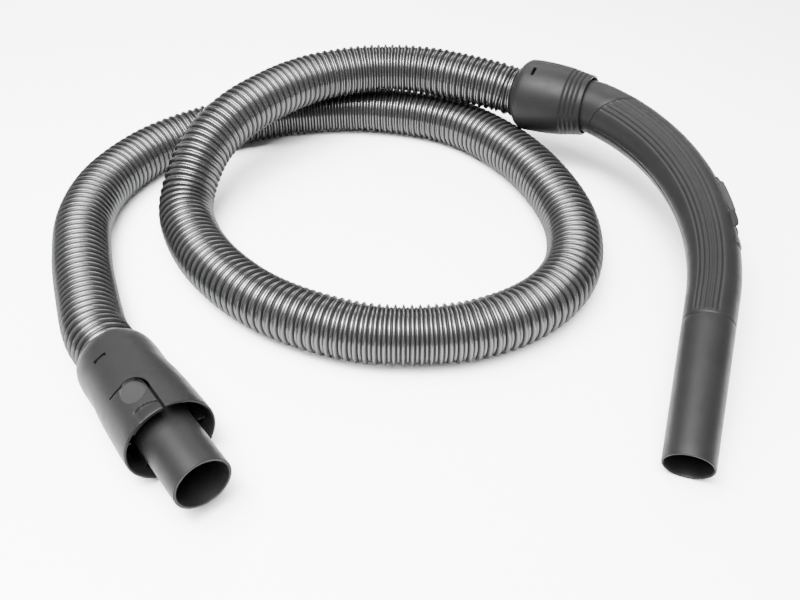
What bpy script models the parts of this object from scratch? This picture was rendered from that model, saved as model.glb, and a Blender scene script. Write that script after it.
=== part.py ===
"""Suction hose assembly of a canister vacuum cleaner.

A ribbed hose lies in a loose loop. One end swivels in the connector that plugs into the
machine, and the other end swivels in the bell collar of the bent grip handle, whose far
end takes the wand. Units are metres, +Z is up and the floor is at Z = 0.
"""

import math

import bmesh
import bpy
from mathutils import Matrix, Quaternion, Vector

# Driving dimensions, in metres and degrees.
STEPS = 32
HOSE_RADIUS = 0.02125

CONNECTOR_REAR = Vector((-0.2098, -0.0992, 0.0264))
CONNECTOR_HEADING = -52.15
CONNECTOR_RISE = 2.0
CONNECTOR_ROLL = 17.7
CONNECTOR_LENGTH = 0.0875
SPIGOT_END = 0.128

COLLAR_REAR = Vector((0.0877, 0.1891, 0.0634))
COLLAR_HEADING = -30.33
COLLAR_RISE = 4.8
COLLAR_ROLL = -76.5

STRAIGHT_LENGTH = 0.058
ELBOW_RADIUS = 0.050
ELBOW_ANGLE = math.radians(18.0)
BEND_RADIUS = 0.209
BEND_ANGLE = math.radians(62.0)
WAND_LENGTH = 0.1285

COLLAR_LENGTH = 0.0635
SEAM_UPPER = 0.0948
SEAM_SLANT = 0.0132
SEAM_LOWER = 0.3240
SHELL_THICKNESS = 0.0020
GAP = 0.0003

# Both swivels share these heights, measured from the rear rim towards the tube.
CUFF_START = 0.0040
HOSE_STOP = 0.0260
CUFF_END = 0.0380
LOCK_WIDTH = 0.0022
MACHINE_LOCK = 0.0198
HANDLE_LOCK = 0.0153
WINDOW_HALF_WIDTH = 0.0043
CAVITY_RADIUS = 0.0239
BORE_RADIUS = 0.0164
STUB_RADIUS = 0.0182
STUB_START = 0.0290
FLANGE_START = 0.0400
FLANGE_END = 0.0430
WEB_START = 0.0433
WEB_END = 0.0458

# The latch tongue: an ellipse round its press pad, a leg to the hinge line and a straight edge.
PAD_ACROSS = -0.0014
PAD_HEIGHT = 0.0631
SLOT_EDGE = (0.0100, 0.0104, 0.0539)
TONGUE_EDGE = (0.0083, 0.0098, 0.0551)
LATCH_HINGE_Y = 0.0125

FRAME_START = 0.1970
FRAME_END = 0.2610
TRACK_START = 0.2000
TRACK_END = 0.2440
VENT_START = 0.2300
VENT_END = 0.2400
SLIDER_LENGTH = 0.0285
FRAME_HALF_WIDTH = 0.0125
TRACK_HALF_WIDTH = 0.0108

# The hose's route on the floor, from the connector round the loop to the collar.
ROUTE = [
    (-0.2283, -0.0744, 0.0245),
    (-0.2443, -0.0394, 0.0220),
    (-0.2623, 0.0076, 0.0213),
    (-0.2743, 0.0576, 0.0213),
    (-0.2702, 0.1084, 0.0213),
    (-0.2452, 0.1573, 0.0213),
    (-0.2080, 0.1916, 0.0213),
    (-0.1678, 0.2131, 0.0213),
    (-0.1198, 0.2286, 0.0213),
    (-0.0598, 0.2346, 0.0213),
    (0.0002, 0.2236, 0.0213),
    (0.0442, 0.1996, 0.0213),
    (0.0822, 0.1556, 0.0213),
    (0.1066, 0.1036, 0.0213),
    (0.1176, 0.0485, 0.0213),
    (0.1088, -0.0044, 0.0213),
    (0.0792, -0.0434, 0.0213),
    (0.0322, -0.0678, 0.0213),
    (-0.0198, -0.0731, 0.0213),
    (-0.0648, -0.0656, 0.0213),
    (-0.1152, -0.0416, 0.0213),
    (-0.1548, -0.0064, 0.0213),
    (-0.1818, 0.0336, 0.0218),
    (-0.1938, 0.0716, 0.0285),
    (-0.1838, 0.1136, 0.0500),
    (-0.1628, 0.1476, 0.0615),
    (-0.1348, 0.1806, 0.0650),
    (-0.1058, 0.2076, 0.0650),
    (-0.0748, 0.2236, 0.0648),
    (-0.0388, 0.2316, 0.0648),
    (0.0002, 0.2281, 0.0648),
    (0.0362, 0.2141, 0.0648),
    (0.0682, 0.1991, 0.0639),
]
ROUTE_SPACING = 0.0240


def new_collection(name):
    """A collection linked to the scene."""
    collection = bpy.data.collections.new(name)
    bpy.context.scene.collection.children.link(collection)
    return collection


def principled(name, color, roughness, metallic):
    """A plain Principled BSDF material."""
    material = bpy.data.materials.new(name)
    material.use_nodes = True
    shader = material.node_tree.nodes["Principled BSDF"]
    shader.inputs["Base Color"].default_value = (*color, 1.0)
    shader.inputs["Roughness"].default_value = roughness
    shader.inputs["Metallic"].default_value = metallic
    return material


def place(name, mesh, material, frame):
    """An object for the mesh, with its own material, in the frame's coordinates."""
    mesh.materials.append(principled(name + "_material", *material))
    part = bpy.data.objects.new(name, mesh)
    PARTS.objects.link(part)
    part.parent = frame
    return part


def heading_vector(heading, rise):
    """The unit vector with this compass angle from +X and this rise above level."""
    flat = math.cos(math.radians(rise))
    turn = math.radians(heading)
    return Vector((flat * math.cos(turn), flat * math.sin(turn), math.sin(math.radians(rise))))


def axis_frame(name, location, direction, roll):
    """An empty with Z along the direction and X on its upward normal, rolled about it."""
    upward = (Vector((0, 0, 1)) - direction * direction.z).normalized()
    x_axis = Quaternion(direction, math.radians(roll)) @ upward
    matrix = Matrix((x_axis, direction.cross(x_axis), direction)).transposed().to_4x4()
    matrix.translation = location
    empty = bpy.data.objects.new(name, None)
    PARTS.objects.link(empty)
    empty.matrix_world = matrix
    return empty


def move_origin(part, point):
    """Put the object's origin at a point of its frame and leave its shape in place."""
    part.data.transform(Matrix.Translation(-point))
    part.location = point


def turned(name, profile, material, frame):
    """A closed (radius, height) outline, down its outer side and up its bore, turned about Z."""
    count = len(profile)
    mesh = bpy.data.meshes.new(name)
    edges = [(index, (index + 1) % count) for index in range(count)]
    mesh.from_pydata([(radius, 0.0, height) for radius, height in profile], edges, [])
    part = place(name, mesh, material, frame)
    screw = part.modifiers.new("Turn", "SCREW")
    screw.steps = STEPS
    screw.render_steps = STEPS
    screw.use_merge_vertices = True
    screw.merge_threshold = 0.00001
    screw.use_smooth_shade = True
    return part


def skin(name, rings, closed, material, frame):
    """A loft through rings of points, joined end to start or capped at both ends."""
    shape = bmesh.new()
    rows = [[shape.verts.new(point) for point in ring] for ring in rings]
    if closed:
        rows.append(rows[0])
    else:
        shape.faces.new(rows[0])
        shape.faces.new(rows[-1])
    for low, high in zip(rows, rows[1:]):
        for index, corner in enumerate(low):
            after = (index + 1) % len(low)
            shape.faces.new((corner, low[after], high[after], high[index]))
    bmesh.ops.recalc_face_normals(shape, faces=shape.faces)
    mesh = bpy.data.meshes.new(name)
    shape.to_mesh(mesh)
    shape.free()
    part = place(name, mesh, material, frame)
    mesh.shade_smooth()
    mesh.set_sharp_from_angle(angle=math.radians(35))
    return part


def as_cutter(part):
    """Move the object to the cutters, out of the model."""
    PARTS.objects.unlink(part)
    CUTTERS.objects.link(part)
    part.hide_render = True
    part.display_type = "WIRE"
    return part


def block(name, low, high, frame, turn=0.0):
    """A box cutter between two corners, turned about the frame's Z axis by some degrees."""
    shape = bmesh.new()
    bmesh.ops.create_cube(shape, size=1.0)
    size = Vector(high) - Vector(low)
    middle = (Vector(high) + Vector(low)) / 2
    spin = Matrix.Rotation(math.radians(turn), 4, "Z")
    fit = spin @ Matrix.Translation(middle) @ Matrix.Diagonal((*size, 1.0))
    bmesh.ops.transform(shape, matrix=fit, verts=shape.verts)
    mesh = bpy.data.meshes.new(name)
    shape.to_mesh(mesh)
    shape.free()
    return as_cutter(place(name, mesh, GREY, frame))


def combine(part, other, operation):
    """Cut, join or intersect a part with a guide solid."""
    boolean = part.modifiers.new(operation.title(), "BOOLEAN")
    boolean.operation = operation
    boolean.solver = "EXACT"
    boolean.object = other


# The handle's centre line lies in its frame's XZ plane: a straight, an elbow, the long bend
# of the grip, and a straight. The bend turns towards -X, so +X is its outer side.
ELBOW_END = STRAIGHT_LENGTH + ELBOW_RADIUS * ELBOW_ANGLE
BEND_END = ELBOW_END + BEND_RADIUS * BEND_ANGLE
HANDLE_LENGTH = BEND_END + WAND_LENGTH


def arc_step(point, turn, radius, angle):
    """Move the point along an arc that starts at this turn and bends towards -X."""
    point.x += radius * (math.cos(turn + angle) - math.cos(turn))
    point.z += radius * (math.sin(turn + angle) - math.sin(turn))
    return turn + angle


def centre_line(length):
    """The point at this length along the handle, and how far the line has turned there."""
    point = Vector((0, 0, min(length, STRAIGHT_LENGTH)))
    turn = 0.0
    if length > STRAIGHT_LENGTH:
        angle = (min(length, ELBOW_END) - STRAIGHT_LENGTH) / ELBOW_RADIUS
        turn = arc_step(point, turn, ELBOW_RADIUS, angle)
    if length > ELBOW_END:
        angle = (min(length, BEND_END) - ELBOW_END) / BEND_RADIUS
        turn = arc_step(point, turn, BEND_RADIUS, angle)
    if length > BEND_END:
        point += (length - BEND_END) * Vector((-math.sin(turn), 0, math.cos(turn)))
    return point, turn


def bend_centre():
    """The centre of the grip's long bend."""
    point, turn = centre_line(ELBOW_END)
    return point - BEND_RADIUS * Vector((math.cos(turn), 0, math.sin(turn)))


def between(knots, length):
    """The value at this length on straight runs through (length, value) knots."""
    for (start, low), (end, high) in zip(knots, knots[1:]):
        if length <= end:
            return low + (high - low) * max(0.0, length - start) / (end - start)
    return knots[-1][1]


def tube_radius(length):
    """The handle's outer radius, which tapers from the collar to the wand end."""
    knots = [(0.070, 0.0218), (0.110, 0.0214), (0.150, 0.0208), (0.190, 0.0200), (0.240, 0.0188)]
    knots += [(0.300, 0.0178), (SEAM_LOWER, 0.0174), (HANDLE_LENGTH, 0.0160)]
    return between(knots, length)


def handle_point(length, radius, angle):
    """A point around the centre line, at an angle from the outer side towards +Y."""
    centre, turn = centre_line(length)
    outward = Vector((math.cos(turn), 0, math.sin(turn)))
    return centre + radius * (math.cos(angle) * outward + math.sin(angle) * Vector((0, 1, 0)))


def handle_ring(length, radius=None, inset=0.0, slant=0.0):
    """A ring of points round the handle, slanted along it by this much at the outer side."""
    ring = []
    for step in range(STEPS):
        angle = 2 * math.pi * step / STEPS
        here = length + slant * math.cos(angle)
        size = tube_radius(here) - inset if radius is None else radius
        ring.append(handle_point(here, size, angle))
    return ring


def spread(start, end, count):
    """Evenly spaced values from start to end."""
    return [start + (end - start) * step / (count - 1) for step in range(count)]


def hose_cuff(name, lock, frame):
    """The moulded cuff that the hose screws into, with a stop, a seal seat and a clip groove."""
    outer = 0.0233
    groove = 0.0225
    thread = 0.0217
    seat = 0.0207
    profile = [
        (outer, CUFF_END),
        (outer, lock + LOCK_WIDTH + GAP),
        (groove, lock + LOCK_WIDTH + GAP),
        (groove, lock - GAP),
        (outer, lock - GAP),
        (outer, CUFF_START),
        (thread, CUFF_START),
        (thread, HOSE_STOP),
        (BORE_RADIUS, HOSE_STOP),
        (BORE_RADIUS, HOSE_STOP + 0.002),
        (seat, HOSE_STOP + 0.002),
        (seat, CUFF_END),
    ]
    return turned(name, profile, CREAM, frame)


def plain_ring(name, inner, outer, low, high, material, frame):
    """A ring of rectangular section."""
    profile = [(outer, high), (outer, low), (inner, low), (inner, high)]
    return turned(name, profile, material, frame)


def swivel_set(end, lock, frame):
    """The cuff, C clip, bearing washer and lip seal that join the hose to one end piece."""
    hose_cuff("hose_cuff_" + end, lock, frame)
    clip = plain_ring("lock_ring_" + end, 0.0228, 0.0246, lock, lock + LOCK_WIDTH, CREAM, frame)
    gap = block("lock_gap_" + end, (-0.030, -0.004, 0.010), (-0.018, 0.004, 0.024), frame)
    combine(clip, gap, "DIFFERENCE")
    plain_ring("bearing_ring_" + end, 0.0190, 0.0232, 0.0383, 0.0397, CREAM, frame)
    plain_ring("seal_ring_" + end, 0.0186, 0.0204, 0.0310, 0.0340, RUBBER, frame)


# The housing's outer side, as (radius, height), from the front rim to the rear rim.
HOUSING_SIDE = [
    (0.0290, CONNECTOR_LENGTH),
    (0.0292, CONNECTOR_LENGTH - 0.0010),
    (0.0289, 0.0710),
    (0.0280, 0.0440),
    (0.0272, 0.0220),
    (0.0264, 0.0080),
    (0.0254, 0.0034),
    (0.0242, 0.0009),
    (0.0234, 0.0),
]
HOUSING_MOUTH = 0.0268
HOUSING_THROAT = 0.0257


def tongue_outline(edge, hinge):
    """The outline of a tongue or of its slot as (across, along), round to its hinge line."""
    half, reach, leg = edge
    top = CONNECTOR_LENGTH + 0.004
    last = math.pi - math.asin((PAD_HEIGHT - leg) / reach)
    points = [(PAD_ACROSS - half, top)]
    for turn in spread(0.0, last, 9):
        points.append((PAD_ACROSS - half * math.cos(turn), PAD_HEIGHT - reach * math.sin(turn)))
    return [*points, (hinge, leg), (hinge, top)]


def tongue_prism(name, outline, frame, turn):
    """The tongue's outline pushed out through the housing's wall, as a cutter."""
    shape = bmesh.new()
    base = [shape.verts.new((0.0150, across, along)) for across, along in outline]
    face = shape.faces.new(base)
    pushed = bmesh.ops.extrude_face_region(shape, geom=[face])
    moved = [item for item in pushed["geom"] if isinstance(item, bmesh.types.BMVert)]
    bmesh.ops.translate(shape, verts=moved, vec=(0.0200, 0, 0))
    spin = Matrix.Rotation(math.radians(turn), 4, "Z")
    bmesh.ops.transform(shape, matrix=spin, verts=shape.verts)
    bmesh.ops.recalc_face_normals(shape, faces=shape.faces)
    mesh = bpy.data.meshes.new(name)
    shape.to_mesh(mesh)
    shape.free()
    return as_cutter(place(name, mesh, GREY, frame))


def latch_button(name, frame, turn):
    """A sprung tongue of the housing's wall with a hook inside its front edge."""
    wall = [point for point in HOUSING_SIDE if point[1] > 0.040]
    profile = [*wall, (HOUSING_THROAT, 0.0440), (HOUSING_MOUTH, CONNECTOR_LENGTH)]
    part = turned(name, profile, GREY, frame)
    outline = tongue_outline(TONGUE_EDGE, LATCH_HINGE_Y - GAP)
    combine(part, tongue_prism(name + "_trim", outline, frame, turn), "INTERSECT")
    hook = block(name + "_hook", (0.0248, -0.0035, 0.0800), (0.0275, 0.0035, 0.0830), frame, turn)
    combine(part, hook, "UNION")
    reach = math.sqrt(0.0275**2 - LATCH_HINGE_Y**2)
    hinge = bpy.data.objects.new(name + "_hinge", None)
    PARTS.objects.link(hinge)
    hinge.parent = frame
    spin = Matrix.Rotation(math.radians(turn), 3, "Z")
    hinge.location = spin @ Vector((reach, LATCH_HINGE_Y, 0.0700))
    part.parent = hinge
    part.location = -hinge.location


def connector():
    """The machine end: a bell housing round the inlet spigot, with two latch tongues."""
    frame = axis_frame("connector_frame", CONNECTOR_REAR, CONNECTOR_AXIS, CONNECTOR_ROLL)
    lock_end = MACHINE_LOCK + LOCK_WIDTH
    profile = [
        *HOUSING_SIDE,
        (0.0223, 0.0),
        (0.0223, 0.0028),
        (CAVITY_RADIUS, 0.0028),
        (CAVITY_RADIUS, MACHINE_LOCK - GAP),
        (0.0249, MACHINE_LOCK - GAP),
        (0.0249, lock_end + GAP),
        (CAVITY_RADIUS, lock_end + GAP),
        (CAVITY_RADIUS, WEB_START),
        (0.0187, WEB_START),
        (0.0187, WEB_END),
        (HOUSING_THROAT, WEB_END),
        (HOUSING_MOUTH, CONNECTOR_LENGTH),
    ]
    housing = turned("connector_housing", profile, GREY, frame)
    for turn in (60, 120, 240, 300):
        low = (0.0212, -0.0007, 0.0445)
        rib = block(f"housing_rib_{turn}", low, (0.0270, 0.0007, 0.0760), frame, turn)
        combine(housing, rib, "UNION")
    for name, turn in (("top", 0), ("bottom", 180)):
        outline = tongue_outline(SLOT_EDGE, LATCH_HINGE_Y)
        combine(housing, tongue_prism("tongue_" + name, outline, frame, turn), "DIFFERENCE")
        low = (0.0232, -WINDOW_HALF_WIDTH, MACHINE_LOCK)
        high = (0.0300, WINDOW_HALF_WIDTH, lock_end)
        combine(housing, block("window_" + name, low, high, frame, turn + 7), "DIFFERENCE")
        latch_button("latch_button_" + name, frame, turn)
    spigot = [
        (0.0180, SPIGOT_END),
        (STUB_RADIUS, SPIGOT_END - 0.0005),
        (STUB_RADIUS, FLANGE_END),
        (0.0234, FLANGE_END),
        (0.0234, FLANGE_START),
        (STUB_RADIUS, FLANGE_START),
        (STUB_RADIUS, STUB_START),
        (BORE_RADIUS, STUB_START),
        (BORE_RADIUS, SPIGOT_END - 0.0004),
        (0.0166, SPIGOT_END),
    ]
    turned("inlet_spigot", spigot, GREY, frame)
    plain_ring("inlet_gasket", 0.0186, 0.0208, 0.0461, 0.0486, RUBBER, frame)
    swivel_set("machine", MACHINE_LOCK, frame)
    return frame


def swivel_collar(frame):
    """The bell collar that holds the hose cuff and the handle's tube."""
    lock_end = HANDLE_LOCK + LOCK_WIDTH
    profile = [
        (0.0247, COLLAR_LENGTH),
        (0.0252, COLLAR_LENGTH - 0.0008),
        (0.0268, 0.0535),
        (0.0286, 0.0440),
        (0.0300, 0.0300),
        (0.0305, 0.0150),
        (0.0301, 0.0080),
        (0.0293, 0.0055),
        (0.0250, 0.0012),
        (0.0234, 0.0),
        (0.0223, 0.0),
        (0.0223, 0.0028),
        (CAVITY_RADIUS, 0.0028),
        (CAVITY_RADIUS, HANDLE_LOCK - GAP),
        (0.0249, HANDLE_LOCK - GAP),
        (0.0249, lock_end + GAP),
        (CAVITY_RADIUS, lock_end + GAP),
        (CAVITY_RADIUS, WEB_START),
        (0.0187, WEB_START),
        (0.0187, WEB_END),
        (0.0232, WEB_END),
        (0.0232, COLLAR_LENGTH),
    ]
    collar = turned("swivel_collar", profile, GREY, frame)
    for turn in (98, 278):
        low = (0.0232, -WINDOW_HALF_WIDTH, HANDLE_LOCK)
        high = (0.0320, WINDOW_HALF_WIDTH, lock_end)
        combine(collar, block(f"collar_window_{turn}", low, high, frame, turn), "DIFFERENCE")


def bent_tube(frame):
    """The air tube through the whole handle, stepped down where the grip shells cover it."""
    step = SHELL_THICKNESS + 0.0004
    rings = [
        handle_ring(STUB_START, STUB_RADIUS),
        handle_ring(FLANGE_START, STUB_RADIUS),
        handle_ring(FLANGE_START, 0.0234),
        handle_ring(FLANGE_END, 0.0234),
        handle_ring(FLANGE_END, STUB_RADIUS),
        handle_ring(WEB_END + 0.0007, STUB_RADIUS),
        handle_ring(0.0560, 0.0213),
        handle_ring(0.0630, 0.0216),
        handle_ring(0.0700),
        handle_ring(SEAM_UPPER - GAP, slant=SEAM_SLANT),
        handle_ring(SEAM_UPPER - GAP, inset=step, slant=SEAM_SLANT),
    ]
    rings += [handle_ring(length, inset=step) for length in spread(0.1120, 0.3000, 12)]
    rings += [
        handle_ring(SEAM_LOWER + GAP, inset=step),
        handle_ring(SEAM_LOWER + GAP),
        handle_ring(HANDLE_LENGTH - 0.0008),
        handle_ring(HANDLE_LENGTH, 0.0155),
        handle_ring(HANDLE_LENGTH, 0.0146),
        handle_ring(HANDLE_LENGTH - 0.0010, 0.0143),
    ]
    bore = [(0.0290, BORE_RADIUS), (0.0580, 0.0166), (0.1090, 0.0164), (0.1810, 0.0146)]
    bore += [(0.3000, 0.0134), (0.3450, 0.0138), (HANDLE_LENGTH, 0.0143)]
    stations = [0.3450, *spread(0.3000, 0.1090, 12), 0.0860, 0.0737, 0.0660, 0.0580, 0.0290]
    rings += [handle_ring(length, between(bore, length)) for length in stations]
    tube = skin("bent_tube", rings, True, GREY, frame)
    vent = outer_bar("vent_cutter", VENT_START, VENT_END, 0.0040, -0.0080, 0.0020, GREY, frame)
    combine(tube, as_cutter(vent), "DIFFERENCE")


def grip_shell(name, side, frame):
    """Half of the grip cover, split along the bend's plane, from slanted seam to lower seam."""
    edge = 0.00025
    shape = bmesh.new()
    rows = []
    for share in spread(0.0, 1.0, 15):
        row = []
        for step in range(STEPS // 2 + 1):
            angle = math.pi * step / (STEPS // 2)
            start = SEAM_UPPER + SEAM_SLANT * math.cos(angle)
            length = start + (SEAM_LOWER - start) * share
            radius = tube_radius(length)
            limit = edge / radius
            angle = min(max(angle, limit), math.pi - limit)
            row.append(shape.verts.new(handle_point(length, radius, side * angle)))
        rows.append(row)
    for low, high in zip(rows, rows[1:]):
        for index in range(STEPS // 2):
            corners = (low[index], low[index + 1], high[index + 1], high[index])
            shape.faces.new(corners if side < 0 else corners[::-1])
    mesh = bpy.data.meshes.new(name)
    shape.to_mesh(mesh)
    shape.free()
    shell = place(name, mesh, GREY, frame)
    mesh.shade_smooth()
    solidify = shell.modifiers.new("Wall", "SOLIDIFY")
    solidify.thickness = SHELL_THICKNESS
    solidify.offset = -1.0
    low, high, half = FRAME_START - GAP, FRAME_END + GAP, FRAME_HALF_WIDTH + GAP
    notch = outer_bar(name + "_notch", low, high, half, -0.0100, 0.0060, GREY, frame)
    combine(shell, as_cutter(notch), "DIFFERENCE")


def outer_bar(name, start, end, half_width, low, high, material, frame):
    """A flat bar bent along the handle's outer side, between two offsets from its surface."""
    rings = []
    for length in spread(start, end, max(3, round((end - start) / 0.0075))):
        radius = tube_radius(length)
        inner = [handle_point(length, radius + low, 0.0), handle_point(length, radius + high, 0.0)]
        across = Vector((0, half_width, 0))
        rings.append([inner[0] - across, inner[0] + across, inner[1] + across, inner[1] - across])
    return skin(name, rings, False, material, frame)


def saddle_bar(name, start, end, half_width, heights, material, frame):
    """A bar bent along the outer side whose underside is hollowed to sit over the tube."""
    rings = []
    clearance = SHELL_THICKNESS
    high, edge = heights
    for length in spread(start, end, max(3, round((end - start) / 0.0075))):
        radius = tube_radius(length)
        ring = []
        for across in spread(-half_width, half_width, 11):
            depth = math.sqrt((radius - clearance) ** 2 - across**2)
            ring.append(handle_point(length, depth, 0.0) + Vector((0, across, 0)))
        for across, rise in ((1.0, edge), (0.7, high), (-0.7, high), (-1.0, edge)):
            top = handle_point(length, radius + rise, 0.0)
            ring.append(top + Vector((0, across * half_width, 0)))
        rings.append(ring)
    return skin(name, rings, False, material, frame)


def regulator(frame):
    """The suction regulator: a frame on the bend's outer side and a slider over its vent."""
    low, high, half = FRAME_START, FRAME_END, FRAME_HALF_WIDTH
    holder = saddle_bar("regulator_frame", low, high, half, (0.0012, -0.0018), GREY, frame)
    track = outer_bar(
        "track_cutter", TRACK_START, TRACK_END, TRACK_HALF_WIDTH, -0.0100, 0.0060, GREY, frame
    )
    combine(holder, as_cutter(track), "DIFFERENCE")
    start = TRACK_START + GAP
    end = start + SLIDER_LENGTH
    half = TRACK_HALF_WIDTH - GAP
    slider = saddle_bar("regulator_slider", start, end, half, (0.0015, -0.0006), GREY, frame)
    low, high = start + 0.0020, end - 0.0020
    pad = outer_bar("slider_pad", low, high, 0.0056, 0.0018, 0.0027, PALE_GREY, frame)
    for piece in (slider, pad):
        move_origin(piece, bend_centre())


def handle():
    """The bent grip handle from its bell collar to the wand end."""
    frame = axis_frame("handle_frame", COLLAR_REAR, COLLAR_AXIS, COLLAR_ROLL)
    swivel_collar(frame)
    bent_tube(frame)
    grip_shell("grip_shell_upper", 1, frame)
    grip_shell("grip_shell_lower", -1, frame)
    regulator(frame)
    swivel_set("handle", HANDLE_LOCK, frame)
    return frame


def smooth_route(points, spacing):
    """Points at even spacing on a Catmull-Rom curve through the given points."""
    padded = [2 * points[0] - points[1], *points, 2 * points[-1] - points[-2]]
    fine = []
    for before, start, end, after in zip(padded, padded[1:], padded[2:], padded[3:]):
        for step in range(40):
            t = step / 40
            bend = (2 * before - 5 * start + 4 * end - after) * t**2
            twist = (3 * start - 3 * end + after - before) * t**3
            fine.append((2 * start + (end - before) * t + bend + twist) / 2)
    fine.append(points[-1])
    walked = [0.0]
    for start, end in zip(fine, fine[1:]):
        walked.append(walked[-1] + (end - start).length)
    count = round(walked[-1] / spacing)
    result = []
    index = 0
    for target in spread(0.0, walked[-1], count + 1):
        while index < len(fine) - 2 and walked[index + 1] < target:
            index += 1
        share = (target - walked[index]) / (walked[index + 1] - walked[index])
        result.append(fine[index].lerp(fine[index + 1], min(1.0, share)))
    return result


def hose():
    """The hose as a plain tube of its crest diameter, held in the cuff at each end."""
    stop = HOSE_STOP - GAP
    middle = [Vector(point) for point in ROUTE]
    first = [CONNECTOR_REAR - CONNECTOR_AXIS * 0.006]
    last = [COLLAR_REAR - COLLAR_AXIS * 0.006]
    points = [CONNECTOR_REAR + CONNECTOR_AXIS * stop]
    points += smooth_route(first + middle + last, ROUTE_SPACING)
    points += [COLLAR_REAR + COLLAR_AXIS * stop]
    curve = bpy.data.curves.new("hose", "CURVE")
    curve.dimensions = "3D"
    curve.bevel_depth = HOSE_RADIUS
    curve.bevel_resolution = 3
    curve.use_fill_caps = True
    spline = curve.splines.new("POLY")
    spline.points.add(len(points) - 1)
    for knot, point in zip(spline.points, points):
        knot.co = (*point, 1.0)
    curve.materials.append(principled("hose_material", *SILVER))
    part = bpy.data.objects.new("hose", curve)
    PARTS.objects.link(part)


for item in list(bpy.data.objects):
    bpy.data.objects.remove(item, do_unlink=True)

PARTS = new_collection("vacuum_hose_assembly")
CUTTERS = new_collection("cutters")

GREY = ((0.075, 0.075, 0.078), 0.45, 0.0)
PALE_GREY = ((0.30, 0.30, 0.31), 0.65, 0.0)
CREAM = ((0.60, 0.59, 0.56), 0.40, 0.0)
RUBBER = ((0.020, 0.020, 0.022), 0.75, 0.0)
SILVER = ((0.33, 0.33, 0.34), 0.35, 0.55)

CONNECTOR_AXIS = heading_vector(CONNECTOR_HEADING, CONNECTOR_RISE)
COLLAR_AXIS = heading_vector(COLLAR_HEADING, COLLAR_RISE)

connector()
handle()
hose()
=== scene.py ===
"""Looks of the vacuum cleaner's suction hose assembly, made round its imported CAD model."""

import math

import bmesh
import bpy
from mathutils import Matrix, Quaternion, Vector


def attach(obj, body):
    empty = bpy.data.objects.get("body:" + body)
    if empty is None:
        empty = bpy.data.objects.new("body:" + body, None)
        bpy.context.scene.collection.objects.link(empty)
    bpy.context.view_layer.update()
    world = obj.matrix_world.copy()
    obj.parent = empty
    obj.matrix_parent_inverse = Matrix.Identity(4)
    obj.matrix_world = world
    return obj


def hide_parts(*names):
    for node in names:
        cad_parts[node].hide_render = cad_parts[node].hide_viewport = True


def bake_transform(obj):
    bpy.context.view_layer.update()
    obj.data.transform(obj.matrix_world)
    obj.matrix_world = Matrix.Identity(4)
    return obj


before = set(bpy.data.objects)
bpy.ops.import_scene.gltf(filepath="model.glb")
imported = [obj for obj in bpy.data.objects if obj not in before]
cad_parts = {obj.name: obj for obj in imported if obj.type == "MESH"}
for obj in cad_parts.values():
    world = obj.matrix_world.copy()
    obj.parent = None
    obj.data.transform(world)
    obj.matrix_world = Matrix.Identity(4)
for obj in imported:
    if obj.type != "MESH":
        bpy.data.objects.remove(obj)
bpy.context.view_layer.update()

# The frames and driving sizes of the solids, in metres and degrees.
CONNECTOR_REAR = Vector((-0.2098, -0.0992, 0.0264))
CONNECTOR_HEADING = -52.15
CONNECTOR_RISE = 2.0
CONNECTOR_ROLL = 17.7
CONNECTOR_LENGTH = 0.0875
SPIGOT_END = 0.1280

COLLAR_REAR = Vector((0.0877, 0.1891, 0.0634))
COLLAR_HEADING = -30.33
COLLAR_RISE = 4.8
COLLAR_ROLL = -76.5

STRAIGHT_LENGTH = 0.058
ELBOW_RADIUS = 0.050
ELBOW_ANGLE = math.radians(18.0)
BEND_RADIUS = 0.209
BEND_ANGLE = math.radians(62.0)
WAND_LENGTH = 0.1285

COLLAR_LENGTH = 0.0635
SEAM_UPPER = 0.0948
SEAM_SLANT = 0.0132
SEAM_LOWER = 0.3240
SEAM_GAP = 0.0002

# The hose's route, which is the same list as in the solids.
ROUTE = [
    (-0.2283, -0.0744, 0.0245),
    (-0.2443, -0.0394, 0.0220),
    (-0.2623, 0.0076, 0.0213),
    (-0.2743, 0.0576, 0.0213),
    (-0.2702, 0.1084, 0.0213),
    (-0.2452, 0.1573, 0.0213),
    (-0.2080, 0.1916, 0.0213),
    (-0.1678, 0.2131, 0.0213),
    (-0.1198, 0.2286, 0.0213),
    (-0.0598, 0.2346, 0.0213),
    (0.0002, 0.2236, 0.0213),
    (0.0442, 0.1996, 0.0213),
    (0.0822, 0.1556, 0.0213),
    (0.1066, 0.1036, 0.0213),
    (0.1176, 0.0485, 0.0213),
    (0.1088, -0.0044, 0.0213),
    (0.0792, -0.0434, 0.0213),
    (0.0322, -0.0678, 0.0213),
    (-0.0198, -0.0731, 0.0213),
    (-0.0648, -0.0656, 0.0213),
    (-0.1152, -0.0416, 0.0213),
    (-0.1548, -0.0064, 0.0213),
    (-0.1818, 0.0336, 0.0218),
    (-0.1938, 0.0716, 0.0285),
    (-0.1838, 0.1136, 0.0500),
    (-0.1628, 0.1476, 0.0615),
    (-0.1348, 0.1806, 0.0650),
    (-0.1058, 0.2076, 0.0650),
    (-0.0748, 0.2236, 0.0648),
    (-0.0388, 0.2316, 0.0648),
    (0.0002, 0.2281, 0.0648),
    (0.0362, 0.2141, 0.0648),
    (0.0682, 0.1991, 0.0639),
]
HOSE_DIAMETER = 0.0425
HOSE_STOP = 0.0257
HOSE_LEAD = 0.0060

# The sockets behind both bells: their mouth, the cuff's pocket and the web the tube turns in.
MOUTH_RADIUS = 0.0223
MOUTH_DEPTH = 0.0028
POCKET_RADIUS = 0.0239
WEB_RADIUS = 0.0187
WEB_LOW = 0.0433
WEB_HIGH = 0.0458

# The end of each tube that turns inside its cuff.
STUB_RADIUS = 0.0182
STUB_START = 0.0290
STUB_BORE = 0.0164
FLANGE_RADIUS = 0.0234
FLANGE_LOW = 0.0400
FLANGE_HIGH = 0.0430
TUBE_STEPS = 128


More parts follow.
